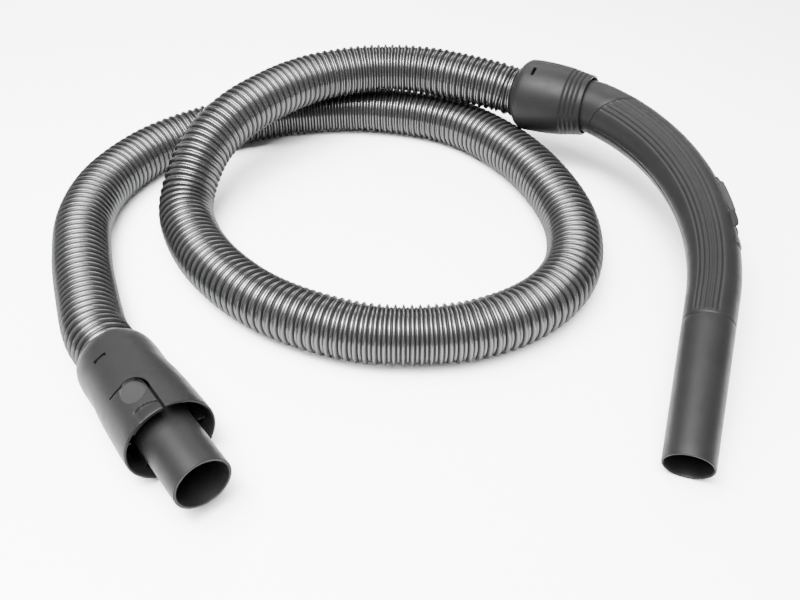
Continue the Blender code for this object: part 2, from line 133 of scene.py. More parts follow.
def heading_vector(heading, rise):
    """The unit vector with this compass angle from +X and this rise above level."""
    flat = math.cos(math.radians(rise))
    turn = math.radians(heading)
    return Vector((flat * math.cos(turn), flat * math.sin(turn), math.sin(math.radians(rise))))


def axis_matrix(location, direction, roll):
    """The matrix with Z along the direction and X on its upward normal, rolled about it."""
    upward = (Vector((0, 0, 1)) - direction * direction.z).normalized()
    x_axis = Quaternion(direction, math.radians(roll)) @ upward
    matrix = Matrix((x_axis, direction.cross(x_axis), direction)).transposed().to_4x4()
    matrix.translation = location
    return matrix


CONNECTOR_AXIS = heading_vector(CONNECTOR_HEADING, CONNECTOR_RISE)
COLLAR_AXIS = heading_vector(COLLAR_HEADING, COLLAR_RISE)
CONNECTOR = axis_matrix(CONNECTOR_REAR, CONNECTOR_AXIS, CONNECTOR_ROLL)
HANDLE = axis_matrix(COLLAR_REAR, COLLAR_AXIS, COLLAR_ROLL)


# ---------------------------------------------------------------- camera, light and floor


CAMERA_PLACE = (-0.0198, -0.4624, 0.4180)
CAMERA_DROP = 43.0
CAMERA_LENS = 36.2
CAMERA_SENSOR = 36.0


def camera():
    """The camera at the height and pitch of a person looking down at the floor."""
    data = bpy.data.cameras.new("camera")
    data.lens = CAMERA_LENS
    data.sensor_width = CAMERA_SENSOR
    view = bpy.data.objects.new("camera", data)
    view.location = CAMERA_PLACE
    view.rotation_euler = (math.radians(90.0 - CAMERA_DROP), 0.0, 0.0)
    bpy.context.scene.collection.objects.link(view)
    bpy.context.scene.camera = view


def area_light(name, location, target, size, power):
    """A soft rectangular light that faces a point."""
    data = bpy.data.lights.new(name, "AREA")
    data.shape = "RECTANGLE"
    data.size, data.size_y = size
    data.energy = power
    light = bpy.data.objects.new(name, data)
    light.location = location
    aim = Vector(target) - Vector(location)
    light.rotation_euler = aim.to_track_quat("-Z", "Y").to_euler()
    bpy.context.scene.collection.objects.link(light)


# The floor's section, as (depth, height): level, then up a soft curve into the backdrop.
FLOOR_SWEEP = ((-3.0, 0.0), (2.2, 0.0), (2.6, 0.05), (2.9, 0.25), (3.0, 0.6), (3.0, 3.0))
FLOOR_HALF_WIDTH = 4.0


def studio():
    """A pale sweep of floor under soft overhead, key and rear lights."""
    world = bpy.data.worlds.new("studio")
    world.use_nodes = True
    background = world.node_tree.nodes["Background"]
    background.inputs["Color"].default_value = (1.0, 1.0, 1.0, 1.0)
    background.inputs["Strength"].default_value = 0.35
    bpy.context.scene.world = world
    area_light("overhead", (-0.30, -0.30, 1.35), (-0.10, -0.10, 0.0), (1.9, 1.15), 180.0)
    area_light("key", (-0.28, -0.38, 1.30), (-0.05, 0.0, 0.0), (0.8, 0.30), 78.0)
    area_light("behind", (0.30, 1.30, 1.20), (0.0, 0.10, 0.0), (2.0, 0.6), 30.0)

    floor = bpy.data.meshes.new("floor")
    points = []
    for depth, height in FLOOR_SWEEP:
        points += [(-FLOOR_HALF_WIDTH, depth, height), (FLOOR_HALF_WIDTH, depth, height)]
    faces = [(2 * i, 2 * i + 1, 2 * i + 3, 2 * i + 2) for i in range(len(FLOOR_SWEEP) - 1)]
    floor.from_pydata(points, [], faces)
    floor.shade_smooth()
    surface, shader = new_material("floor_paint")
    shader.inputs["Base Color"].default_value = (0.88, 0.885, 0.89, 1.0)
    shader.inputs["Roughness"].default_value = 0.55
    floor.materials.append(surface)
    sweep = bpy.data.objects.new("floor", floor)
    bpy.context.scene.collection.objects.link(sweep)


# ---------------------------------------------------------------- materials


def new_material(name):
    """A node material and its Principled shader."""
    material = bpy.data.materials.new(name)
    material.use_nodes = True
    return material, material.node_tree.nodes["Principled BSDF"]


def add_node(material, kind, **values):
    """A node with some of its properties or inputs set."""
    node = material.node_tree.nodes.new(kind)
    for key, value in values.items():
        if hasattr(node, key):
            setattr(node, key, value)
        else:
            node.inputs[key.replace("_", " ").title()].default_value = value
    return node


def link(material, source, target):
    """Join an output socket to an input socket."""
    material.node_tree.links.new(source, target)


def noise(material, coordinate, scale, detail):
    """A noise texture on the object's own coordinates."""
    node = add_node(material, "ShaderNodeTexNoise", Scale=scale, Detail=detail)
    link(material, coordinate, node.inputs["Vector"])
    return node.outputs["Fac"]


def ramp(material, factor, stops):
    """A colour ramp of (position, grey) stops."""
    node = add_node(material, "ShaderNodeValToRGB")
    band = node.color_ramp
    while len(band.elements) < len(stops):
        band.elements.new(0.5)
    for element, (position, value) in zip(band.elements, stops):
        element.position = position
        element.color = (value, value, value, 1.0)
    link(material, factor, node.inputs["Fac"])
    return node.outputs["Color"]


# How deep a bump of full strength is, in metres.
BUMP_DEPTH = 0.0002


def plastic(name, dark, light, gloss, grain, bump):
    """Moulded plastic: a clouded colour, uneven gloss and a fine spark-eroded grain."""
    material, shader = new_material(name)
    shader.inputs["Specular IOR Level"].default_value = 0.09
    place = add_node(material, "ShaderNodeTexCoord").outputs["Object"]
    cloud = noise(material, place, 38.0, 4.0)
    link(material, ramp(material, cloud, [(0.3, dark), (0.7, light)]), shader.inputs["Base Color"])
    worn = noise(material, place, 140.0, 3.0)
    low, high = gloss
    link(material, ramp(material, worn, [(0.3, low), (0.7, high)]), shader.inputs["Roughness"])
    fine = noise(material, place, grain, 2.0)
    relief = add_node(material, "ShaderNodeBump", Strength=bump, Distance=BUMP_DEPTH)
    link(material, fine, relief.inputs["Height"])
    link(material, relief.outputs["Normal"], shader.inputs["Normal"])
    return material


def hose_plastic():
    """Silver-grey hose wall: painted shade darkens the grooves and a painted highlight brightens
    the crests; the grooves are also rougher.
    """
    material, shader = new_material("hose_silver")
    place = add_node(material, "ShaderNodeTexCoord").outputs["Object"]
    depth = add_node(material, "ShaderNodeAttribute", attribute_name="painted_light_gloss").outputs["Fac"]
    # Painted light in the colour: near black in the grooves is painted shade, bright on the crests
    # is a painted highlight.
    tone = ramp(material, depth, [(0.0, 0.004), (0.4, 0.016), (0.8, 0.052), (1.0, 0.092)])
    cloud = noise(material, place, 30.0, 4.0)
    shade = ramp(material, cloud, [(0.3, 0.88), (0.7, 1.0)])
    mix = add_node(material, "ShaderNodeMix", data_type="RGBA", blend_type="MULTIPLY")
    mix.inputs[0].default_value = 1.0
    link(material, tone, mix.inputs[6])
    link(material, shade, mix.inputs[7])
    link(material, mix.outputs[2], shader.inputs["Base Color"])
    gloss = ramp(material, depth, [(0.0, 0.50), (0.6, 0.26), (1.0, 0.20)])
    link(material, gloss, shader.inputs["Roughness"])
    shader.inputs["Metallic"].default_value = 0.80
    shader.inputs["Specular Tint"].default_value = (0.25, 0.25, 0.25, 1.0)
    fine = noise(material, place, 1500.0, 2.0)
    relief = add_node(material, "ShaderNodeBump", Strength=0.04, Distance=BUMP_DEPTH)
    link(material, fine, relief.inputs["Height"])
    link(material, relief.outputs["Normal"], shader.inputs["Normal"])
    return material


# ---------------------------------------------------------------- mesh helpers

# Edges that turn more than this many degrees are shaded sharp.
SHARP_ANGLE = 40.0


def closed_mesh(name, points, faces):
    """A closed mesh with its normals outwards."""
    mesh = bpy.data.meshes.new(name)
    mesh.from_pydata([tuple(point) for point in points], [], faces)
    shape = bmesh.new()
    shape.from_mesh(mesh)
    bmesh.ops.recalc_face_normals(shape, faces=shape.faces)
    shape.to_mesh(mesh)
    shape.free()
    return mesh


def piece(name, points, faces, material, body, nodes, sharp=SHARP_ANGLE):
    """A smooth-shaded closed mesh that rides on a body and stands for CAD nodes.

    A piece that is cut afterwards is given no body here, and rides once it is cut.
    """
    mesh = closed_mesh(name, points, faces)
    mesh.materials.append(material)
    mesh.shade_smooth()
    mesh.set_sharp_from_angle(angle=math.radians(sharp))
    made = bpy.data.objects.new(name, mesh)
    bpy.context.scene.collection.objects.link(made)
    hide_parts(*nodes)
    if body:
        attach(made, body)
    return made


def grid_faces(rows, columns, wrap_rows, wrap_columns, start=0):
    """The quads of a rows by columns grid of points."""
    faces = []
    for row in range(rows if wrap_rows else rows - 1):
        after = (row + 1) % rows
        for column in range(columns if wrap_columns else columns - 1):
            beside = (column + 1) % columns
            corners = (
                row * columns + column,
                row * columns + beside,
                after * columns + beside,
                after * columns + column,
            )
            faces.append(tuple(start + corner for corner in corners))
    return faces


def lathe(profile, steps, shape=None):
    """Points and faces of a closed (radius, height) outline turned about Z."""
    points = []
    for step in range(steps):
        angle = 2 * math.pi * step / steps
        for radius, height in profile:
            size = radius + (shape(radius, height, angle) if shape else 0.0)
            points.append(Vector((size * math.cos(angle), size * math.sin(angle), height)))
    return points, grid_faces(steps, len(profile), True, True)


def rounded(profile, steps=3):
    """The closed outline with each corner rounded that carries a size as its third value."""
    result = []
    count = len(profile)
    for index, corner in enumerate(profile):
        point = Vector(corner[:2])
        if len(corner) < 3:
            result.append(tuple(point))
            continue
        size = corner[2]
        before = Vector(profile[index - 1][:2])
        after = Vector(profile[(index + 1) % count][:2])
        start = point + (before - point).normalized() * size
        end = point + (after - point).normalized() * size
        for step in range(steps + 1):
            t = step / steps
            result.append(tuple((1 - t) ** 2 * start + 2 * t * (1 - t) * point + t * t * end))
    return result


def moved(points, matrix):
    """The points of a local frame in the model's frame."""
    return [matrix @ Vector(point) for point in points]


def smooth_step(low, high, value):
    """A smooth rise from 0 at low to 1 at high."""
    t = min(1.0, max(0.0, (value - low) / (high - low)))
    return t * t * (3 - 2 * t)


def spread(start, end, count):
    """Evenly spaced values from start to end."""
    return [start + (end - start) * step / (count - 1) for step in range(count)]


def between(knots, value):
    """The value on straight runs through (position, value) knots."""
    for (start, low), (end, high) in zip(knots, knots[1:]):
        if value <= end:
            return low + (high - low) * max(0.0, value - start) / (end - start)
    return knots[-1][1]


def cut_with(target, cutters, operation="DIFFERENCE"):
    """Cut closed shapes from the object, or join them to it, and keep the result as its mesh."""
    for points, faces in cutters:
        mesh = closed_mesh("cutter", points, faces)
        cutter = bpy.data.objects.new("cutter", mesh)
        bpy.context.scene.collection.objects.link(cutter)
        boolean = target.modifiers.new("Cut", "BOOLEAN")
        boolean.operation = operation
        boolean.solver = "EXACT"
        boolean.object = cutter
        bpy.context.view_layer.update()
        graph = bpy.context.evaluated_depsgraph_get()
        result = bpy.data.meshes.new_from_object(target.evaluated_get(graph))
        target.modifiers.clear()
        result.name = target.name
        target.data = result
        bpy.data.objects.remove(cutter)
        bpy.data.meshes.remove(mesh)
    target.data.shade_smooth()
    target.data.set_sharp_from_angle(angle=math.radians(SHARP_ANGLE))


def box_shape(low, high, turn, matrix):
    """A box between two corners, turned about Z by some degrees, in the model's frame."""
    corners = []
    for x in (low[0], high[0]):
        for y in (low[1], high[1]):
            for z in (low[2], high[2]):
                corners.append(Vector((x, y, z)))
    spin = matrix @ Matrix.Rotation(math.radians(turn), 4, "Z")
    faces = [(0, 1, 3, 2), (4, 6, 7, 5), (0, 4, 5, 1), (2, 3, 7, 6), (0, 2, 6, 4), (1, 5, 7, 3)]
    return moved(corners, spin), faces


def prism(outline, low, high, turn, matrix):
    """An outline of (y, z) points pushed out along X between two distances."""
    count = len(outline)
    points = [Vector((low, y, z)) for y, z in outline] + [Vector((high, y, z)) for y, z in outline]
    faces = [tuple(range(count)), tuple(reversed(range(count, 2 * count)))]
    for index in range(count):
        after = (index + 1) % count
        faces.append((index, after, count + after, count + index))
    spin = matrix @ Matrix.Rotation(math.radians(turn), 4, "Z")
    return moved(points, spin), faces


# ---------------------------------------------------------------- the hose


def smooth_route(points, spacing):
    """Points at even spacing on a Catmull-Rom curve through the given points."""
    parts = 40
    padded = [2 * points[0] - points[1], *points, 2 * points[-1] - points[-2]]
    fine = []
    for before, start, end, after in zip(padded, padded[1:], padded[2:], padded[3:]):
        for step in range(parts):
            t = step / parts
            bend = (2 * before - 5 * start + 4 * end - after) * t**2
            twist = (3 * start - 3 * end + after - before) * t**3
            fine.append((2 * start + (end - before) * t + bend + twist) / 2)
    fine.append(points[-1])
    walked = [0.0]
    for start, end in zip(fine, fine[1:]):
        walked.append(walked[-1] + (end - start).length)
    count = round(walked[-1] / spacing)
    result = []
    index = 0
    for target in spread(0.0, walked[-1], count + 1):
        while index < len(fine) - 2 and walked[index + 1] < target:
            index += 1
        share = (target - walked[index]) / (walked[index + 1] - walked[index])
        result.append(fine[index].lerp(fine[index + 1], min(1.0, share)))
    return result


# One pitch of the wall, as (share of the pitch, radius, light and gloss): a tall rib and a low
# one. The third value is painted light: low in the grooves for painted shade, high on the crests
# for a painted highlight; it also sets how rough the wall is.
CREST_RADIUS = 0.0217
RIBS = [
    (0.000, CREST_RADIUS, 1.00),
    (0.135, CREST_RADIUS - 0.0006, 0.85),
    (0.260, CREST_RADIUS - 0.0030, 0.00),
    (0.370, CREST_RADIUS - 0.0022, 0.80),
    (0.500, CREST_RADIUS - 0.0018, 1.00),
    (0.630, CREST_RADIUS - 0.0022, 0.80),
    (0.740, CREST_RADIUS - 0.0030, 0.00),
    (0.865, CREST_RADIUS - 0.0006, 0.85),
]
PITCH = 0.0060
AROUND = 42
INNER_RADIUS = 0.0170
# The bore's light and gloss value: low, so the inside of the tube is painted darker, a painted
# shade.
BORE_LIGHT_GLOSS = 0.2

# The crests are lower inside the cuffs, and reach their full size between these two pitches.
SLIM_PITCHES = (4.0, 7.0)


def hose():
    """The ribbed hose from cuff to cuff, with its smooth bore."""
    proud = CREST_RADIUS - HOSE_DIAMETER / 2
    first = [
        CONNECTOR_REAR + CONNECTOR_AXIS * HOSE_STOP,
        CONNECTOR_REAR - CONNECTOR_AXIS * HOSE_LEAD,
    ]
    middle = [Vector(point) + Vector((0.0, 0.0, proud)) for point in ROUTE]
    last = [COLLAR_REAR - COLLAR_AXIS * HOSE_LEAD, COLLAR_REAR + COLLAR_AXIS * HOSE_STOP]
    count = len(RIBS)
    path = smooth_route([*first, *middle, *last], PITCH / count)
    pitches = (len(path) - 1) // count
    path = path[: pitches * count + 1]
    stations = []
    side = Vector((0, 0, 1)).cross(path[1] - path[0]).normalized()
    for index, centre in enumerate(path):
        ahead = path[min(index + 1, len(path) - 1)] - path[max(index - 1, 0)]
        tangent = ahead.normalized()
        side = (side - tangent * side.dot(tangent)).normalized()
        stations.append((centre, side.copy(), tangent.cross(side)))
    rows = []
    painted_light_gloss = []
    for index in range(len(path)):
        share, radius, rib_light_gloss = RIBS[index % count]
        from_end = min(index, len(path) - 1 - index) / count
        radius -= proud * (1.0 - smooth_step(*SLIM_PITCHES, from_end))
        walked = (index // count + share) * count
        low = min(int(walked), len(path) - 2)
        blend = min(1.0, walked - low)
        centre = stations[low][0].lerp(stations[low + 1][0], blend)
        side, up = stations[low][1], stations[low][2]
        rows.append((centre, side, up, radius))
        painted_light_gloss.append(rib_light_gloss)
    for index in range(len(path) - 1, -1, -2 * count):
        rows.append((*stations[index], INNER_RADIUS))
        painted_light_gloss.append(BORE_LIGHT_GLOSS)
    points = []
    for centre, side, up, radius in rows:
        for step in range(AROUND):
            angle = 2 * math.pi * step / AROUND
            points.append(centre + radius * (math.cos(angle) * side + math.sin(angle) * up))
    faces = grid_faces(len(rows), AROUND, True, True)
    made = piece(
        "suction_hose", points, faces, hose_plastic(), "hose", ["hose"], 180.0
    )
    # Each ring's light and gloss value, stored for the material: painted shade in the grooves, a
    # painted highlight on the crests.
    values = [value for value in painted_light_gloss for _ in range(AROUND)]
    made.data.attributes.new("painted_light_gloss", "FLOAT", "POINT").data.foreach_set("value", values)


# ---------------------------------------------------------------- the machine end

# The latch tongue: an ellipse round its press pad, a leg to the hinge line and a straight edge.
PAD_ACROSS = -0.0014
PAD_HEIGHT = 0.0631
PAD_SIZE = (0.0079, 0.0095)
SLOT_EDGE = (0.0100, 0.0104, 0.0539)
TONGUE_EDGE = (0.0083, 0.0098, 0.0551)
LATCH_HINGE = 0.01235
HOUSING_STEPS = 144

# The housing's outer wall, as (height, radius).
HOUSING_OUTSIDE = [
    (0.0, 0.0232),
    (0.0003, 0.0236),
    (0.0012, 0.0244),
    (0.0030, 0.0252),
    (0.0055, 0.0259),
    (0.0085, 0.0264),
    (0.0150, 0.0268),
    (0.0220, 0.0269),
    (0.0330, 0.0274),
    (0.0440, 0.0280),
    (0.0580, 0.0285),
    (0.0710, 0.0289),
    (0.0800, 0.0291),
    (0.0862, 0.0292),
    (0.0871, 0.0291),
    (0.0875, 0.0288),
]

# Its inner wall, from the rear mouth to the rim, as (radius, height).
HOUSING_INSIDE = [
    (0.0226, 0.0),
    (MOUTH_RADIUS, 0.0003),
    (MOUTH_RADIUS, MOUTH_DEPTH),
    (POCKET_RADIUS, MOUTH_DEPTH),
    (POCKET_RADIUS, WEB_LOW),
    (WEB_RADIUS, WEB_LOW),
    (WEB_RADIUS, WEB_HIGH),
    (0.0257, WEB_HIGH),
    (0.0259, 0.0560),
    (0.0262, 0.0700),
    (0.0266, 0.0840),
    (0.0271, 0.0868),
    (0.0279, 0.0875),
]

# The tongue's inner face, as (height, radius), a little clear of the housing's.
TONGUE_INSIDE = [(0.0440, 0.0257), (0.0700, 0.0262), (0.0875, 0.0268)]
TONGUE_CLEARANCE = 0.0002
TONGUE_LAST_RADIUS = 0.0862

# The snap window: half its width, its notches' edges, its heights and the wall's depth there.
WINDOW_HALF_WIDTH = 0.0042
NOTCH_EDGES = (0.0031, 0.0045)
WINDOW_HEIGHTS = (0.0199, 0.0219, 0.0230)
WINDOW_REACH = (0.0245, 0.0300)
WINDOW_TURN = 7

# An inner fin's lowest and highest corner, and how far round each one is.
FIN = ((0.0212, -0.0006, 0.0450), (0.0265, 0.0006, 0.0790))
FIN_TURNS = (60, 120, 240, 300)


def housing_radius(height):
    """The housing's outer radius at a height above its rear rim."""
    return between(HOUSING_OUTSIDE, height)


def finger_scoop(radius, height, angle):
    """The shallow hollows on the housing's two sides, only on its outer wall."""
    if radius < 0.0262 or height > 0.055:
        return 0.0
    off = abs(math.sin(angle))
    return -0.0009 * smooth_step(0.75, 1.0, off) * math.exp(-(((height - 0.033) / 0.009) ** 2))


def tongue_rear(across, edge):
    """How far back the outline of a tongue or its slot reaches at this distance across."""
    half, reach, leg = edge
    off = across - PAD_ACROSS
    if off >= half:
        return leg
    rear = PAD_HEIGHT - reach * math.sqrt(max(0.0, 1.0 - (off / half) ** 2))
    return min(rear, leg) if off > 0.0 else rear


def tongue_columns(edge, count):
    """Distances across the tongue, closer together towards its free edge."""
    first = PAD_ACROSS - edge[0]
    span = LATCH_HINGE - first
    turns = [math.pi / 2 * step / (count - 1) for step in range(count)]
    return [first + span * (1 - math.cos(turn)) for turn in turns]


def slot_outline():
    """The outline of the opening for a tongue, from its free edge round to its hinge."""
    columns = tongue_columns(SLOT_EDGE, 48)
    outline = [(across, tongue_rear(across, SLOT_EDGE)) for across in columns]
    top = CONNECTOR_LENGTH + 0.004
    return [(outline[0][0], top), *outline, (LATCH_HINGE, top)]


def window_cutters(turn):
    """A narrow curved snap window with a small square notch at each end."""
    inner, outer = WINDOW_REACH
    half = WINDOW_HALF_WIDTH
    near, far = NOTCH_EDGES
    low, high, top = WINDOW_HEIGHTS
    return [
        box_shape((inner, -half, low), (outer, half, high), turn, CONNECTOR),
        box_shape((inner, -far, low), (outer, -near, top), turn, CONNECTOR),
        box_shape((inner, near, low), (outer, far, top), turn, CONNECTOR),
    ]


def housing(grey):
    """The bell housing, with its slots for the tongues, snap windows and inner fins."""
    outside = [(radius, height) for height, radius in reversed(HOUSING_OUTSIDE)]
    points, faces = lathe(outside + HOUSING_INSIDE, HOUSING_STEPS, finger_scoop)
    made = piece(
        "machine_housing",
        moved(points, CONNECTOR),
        faces,
        grey,
        None,
        ["connector_housing"],
    )
    cutters = []
    for turn in (0, 180):
        cutters.append(prism(slot_outline(), 0.0150, 0.0350, turn, CONNECTOR))
        cutters += window_cutters(turn + WINDOW_TURN)
    cut_with(made, cutters)
    fins = []
    for turn in FIN_TURNS:
        fins.append(box_shape(*FIN, turn, CONNECTOR))
    cut_with(made, fins, "UNION")
    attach(made, "connector")


def tongue_relief(across, height):
    """How far the tongue's face is sunk: the tilted press dimple and the step near the rim."""
    off = across - PAD_ACROSS
    from_middle = math.hypot(off / PAD_SIZE[0], (height - PAD_HEIGHT) / PAD_SIZE[1])
    rim = 1.0 - smooth_step(0.96, 1.02, from_middle)
    tilt = 0.0013 - 0.155 * off - 0.02 * (height - PAD_HEIGHT)
    step = smooth_step(0.0772, 0.0780, height - 30.0 * (across - 0.0005) ** 2)
    step *= 1.0 - 0.7 * smooth_step(0.0785, 0.0865, height)
    fade = 1.0 - smooth_step(0.0035, 0.0058, across)
    return rim * max(0.00008, tilt) + 0.0013 * step * fade * (1.0 - rim)


def latch(name, node, turn, grey, painted_sheen):
    """A sprung tongue of the housing's wall, with a smoother press dimple and a hook; the dimple's
    lighter colour is a painted sheen.
    """
    columns = tongue_columns(TONGUE_EDGE, 72)
    free = columns[0]
    rows = 96
    outer = []
    inner = []
    for across in columns:
        back = tongue_rear(across, TONGUE_EDGE)
        for step in range(rows):
            height = back + (CONNECTOR_LENGTH - back) * step / (rows - 1)
            edge = min(height - back, CONNECTOR_LENGTH - height, across - free)
            soften = 0.00025 * (1.0 - smooth_step(0.0, 0.0004, edge))
            radius = housing_radius(min(height, TONGUE_LAST_RADIUS))
            radius = radius - tongue_relief(across, height) - soften
            outer.append(Vector((math.sqrt(radius**2 - across**2), across, height)))
            wall = between(TONGUE_INSIDE, height) - TONGUE_CLEARANCE
            inner.append(Vector((math.sqrt(wall**2 - across**2), across, height)))
    count = len(columns) * rows
    faces = grid_faces(len(columns), rows, False, False)
    faces += [tuple(count + index for index in reversed(face)) for face in faces]
    border = [column * rows for column in range(len(columns))]
    border += [(len(columns) - 1) * rows + step for step in range(1, rows)]
    border += [column * rows + rows - 1 for column in range(len(columns) - 2, -1, -1)]
    border += list(range(rows - 2, 0, -1))
    for start, end in zip(border, border[1:] + border[:1]):
        faces.append((start, end, count + end, count + start))
    hook = [(-0.0035, 0.0794), (0.0035, 0.0794), (0.0035, 0.0830), (-0.0035, 0.0830)]
    hook_points, hook_faces = prism(hook, 0.0246, 0.0272, 0, Matrix.Identity(4))
    faces += [tuple(2 * count + index for index in face) for face in hook_faces]
    spin = CONNECTOR @ Matrix.Rotation(math.radians(turn), 4, "Z")
    points = moved(outer + inner + hook_points, spin)
    made = piece(name, points, faces, grey, None, [node])
    made.data.materials.append(painted_sheen)
    # The faces inside the press dimple take the second material, whose lighter colour is a painted
    # sheen.
    for polygon in made.data.polygons[: (len(columns) - 1) * (rows - 1)]:
        middle = sum(((outer + inner)[index] for index in polygon.vertices), Vector()) / 4
        off = (middle.y - PAD_ACROSS) / PAD_SIZE[0]
        if math.hypot(off, (middle.z - PAD_HEIGHT) / PAD_SIZE[1]) < 0.985:
            polygon.material_index = 1
    start = spin @ Vector((0.0240, LATCH_HINGE, 0.0700))
    end = spin @ Vector((0.0240, 0.0070, 0.0700))
    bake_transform(made)


def spigot(grey):
    """The plain inlet tube with its bearing flange inside the housing."""
    profile = rounded(
        [
            (STUB_RADIUS, SPIGOT_END, 0.0004),
            (STUB_RADIUS, FLANGE_HIGH),
            (FLANGE_RADIUS, FLANGE_HIGH, 0.0003),
            (FLANGE_RADIUS, FLANGE_LOW, 0.0003),
            (STUB_RADIUS, FLANGE_LOW),
            (STUB_RADIUS, STUB_START, 0.0004),
            (STUB_BORE, STUB_START, 0.0004),
            (STUB_BORE, SPIGOT_END, 0.0003),
        ]
    )
    points, faces = lathe(profile, TUBE_STEPS)
    piece(
        "machine_spigot",
        moved(points, CONNECTOR),
        faces,
        grey,
        "connector",
        ["inlet_spigot"],
    )


# ---------------------------------------------------------------- the handle

ELBOW_END = STRAIGHT_LENGTH + ELBOW_RADIUS * ELBOW_ANGLE
BEND_END = ELBOW_END + BEND_RADIUS * BEND_ANGLE
HANDLE_LENGTH = BEND_END + WAND_LENGTH

# The tube's outer radius and its bore, as (length, radius).
TUBE_OUTSIDE = [
    (0.070, 0.0218),
    (0.110, 0.0214),
    (0.150, 0.0208),
    (0.190, 0.0200),
    (0.240, 0.0188),
    (0.300, 0.0178),
    (SEAM_LOWER, 0.0174),
    (HANDLE_LENGTH, 0.0160),
]
TUBE_BORE = [
    (STUB_START, STUB_BORE),
    (0.0580, 0.0166),
    (0.1090, 0.0164),
    (0.1810, 0.0146),
    (0.3000, 0.0134),
    (0.3450, 0.0138),
    (HANDLE_LENGTH, 0.0144),
]


def arc_step(point, turn, radius, angle):
    """Move the point along an arc that starts at this turn and bends towards -X."""
    point.x += radius * (math.cos(turn + angle) - math.cos(turn))
    point.z += radius * (math.sin(turn + angle) - math.sin(turn))
    return turn + angle


def centre_line(length):
    """The point at this length along the handle, and how far the line has turned there."""
    point = Vector((0, 0, min(length, STRAIGHT_LENGTH)))
    turn = 0.0
    if length > STRAIGHT_LENGTH:
        angle = (min(length, ELBOW_END) - STRAIGHT_LENGTH) / ELBOW_RADIUS
        turn = arc_step(point, turn, ELBOW_RADIUS, angle)
    if length > ELBOW_END:
        angle = (min(length, BEND_END) - ELBOW_END) / BEND_RADIUS
        turn = arc_step(point, turn, BEND_RADIUS, angle)
    if length > BEND_END:
        point += (length - BEND_END) * Vector((-math.sin(turn), 0, math.cos(turn)))
    return point, turn


def tube_radius(length):
    """The handle's outer radius, which tapers from the collar to the wand end."""
    return between(TUBE_OUTSIDE, length)


def handle_point(length, radius, angle):
    """A point around the centre line, at an angle from the outer side towards +Y."""
    centre, turn = centre_line(length)
    outward = Vector((math.cos(turn), 0, math.sin(turn)))
    return centre + radius * (math.cos(angle) * outward + math.sin(angle) * Vector((0, 1, 0)))


def ring(length, radius, steps, slant):
    """A ring of points round the handle, slanted along it by this much at the outer side."""
    made = []
    for step in range(steps):
        angle = 2 * math.pi * step / steps
        here = length + slant * math.cos(angle)
        made.append(handle_point(here, radius, angle))
    return made


COLLAR_GROOVES = (0.0473, 0.0511, 0.0549, 0.0587)

# A groove's section, as (distance along, depth).
COLLAR_GROOVE = (
    (-0.0015, 0.0),
    (-0.0009, 0.00008),
    (-0.0005, 0.00045),
    (0.0, 0.00070),
    (0.0005, 0.00045),
    (0.0009, 0.00008),
    (0.0015, 0.0),
)

# The collar's wall before its grooves, as (length, radius).
COLLAR_BELLY = [
    (0.0150, 0.0305),
    (0.0220, 0.0304),
    (0.0300, 0.0300),
    (0.0380, 0.0293),
    (0.0440, 0.0286),
    (0.0480, 0.0279),
    (0.0535, 0.0268),
    (0.0590, 0.0259),
    (COLLAR_LENGTH, 0.0253),
]


# A snap window's lowest and highest corner, and how far round each one is.
COLLAR_WINDOW = ((0.0245, -0.0044, 0.0150), (0.0320, 0.0044, 0.0179))
COLLAR_WINDOW_TURNS = (98, 278)


def collar(grey):
    """The bell collar, with its four grooves, soft shoulders and snap windows."""
    outline = [
        (0.0230, 0.0),
        (0.0236, 0.0003),
        (0.0250, 0.0013),
        (0.0270, 0.0030),
        (0.0286, 0.0048),
        (0.0296, 0.0064),
        (0.0301, 0.0080),
        (0.0304, 0.0105),
        (0.0305, 0.0150),
    ]
    for length in spread(0.0190, 0.0440, 7):
        outline.append((between(COLLAR_BELLY, length), length))
    for groove in COLLAR_GROOVES:
        for offset, depth in COLLAR_GROOVE:
            outline.append((between(COLLAR_BELLY, groove + offset) - depth, groove + offset))
    outline += [
        (0.0255, 0.0613),
        (0.0253, 0.0626),
        (0.0251, COLLAR_LENGTH - 0.0003),
        (0.0248, COLLAR_LENGTH),
        (0.0238, COLLAR_LENGTH),
        (0.0235, COLLAR_LENGTH - 0.0004),
        (0.0232, 0.0600),
        (0.0232, WEB_HIGH),
        (WEB_RADIUS, WEB_HIGH),
        (WEB_RADIUS, WEB_LOW),
        (POCKET_RADIUS, WEB_LOW),
        (POCKET_RADIUS, MOUTH_DEPTH),
        (MOUTH_RADIUS, MOUTH_DEPTH),
        (MOUTH_RADIUS, 0.0004),
    ]
    points, faces = lathe(outline, HOUSING_STEPS)
    made = piece(
        "bell_collar",
        moved(points, HANDLE),
        faces,
        grey,
        None,
        ["swivel_collar"],
        50.0,
    )
    cutters = []
    for turn in COLLAR_WINDOW_TURNS:
        cutters.append(box_shape(*COLLAR_WINDOW, turn, HANDLE))
    cut_with(made, cutters)
    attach(made, "handle")


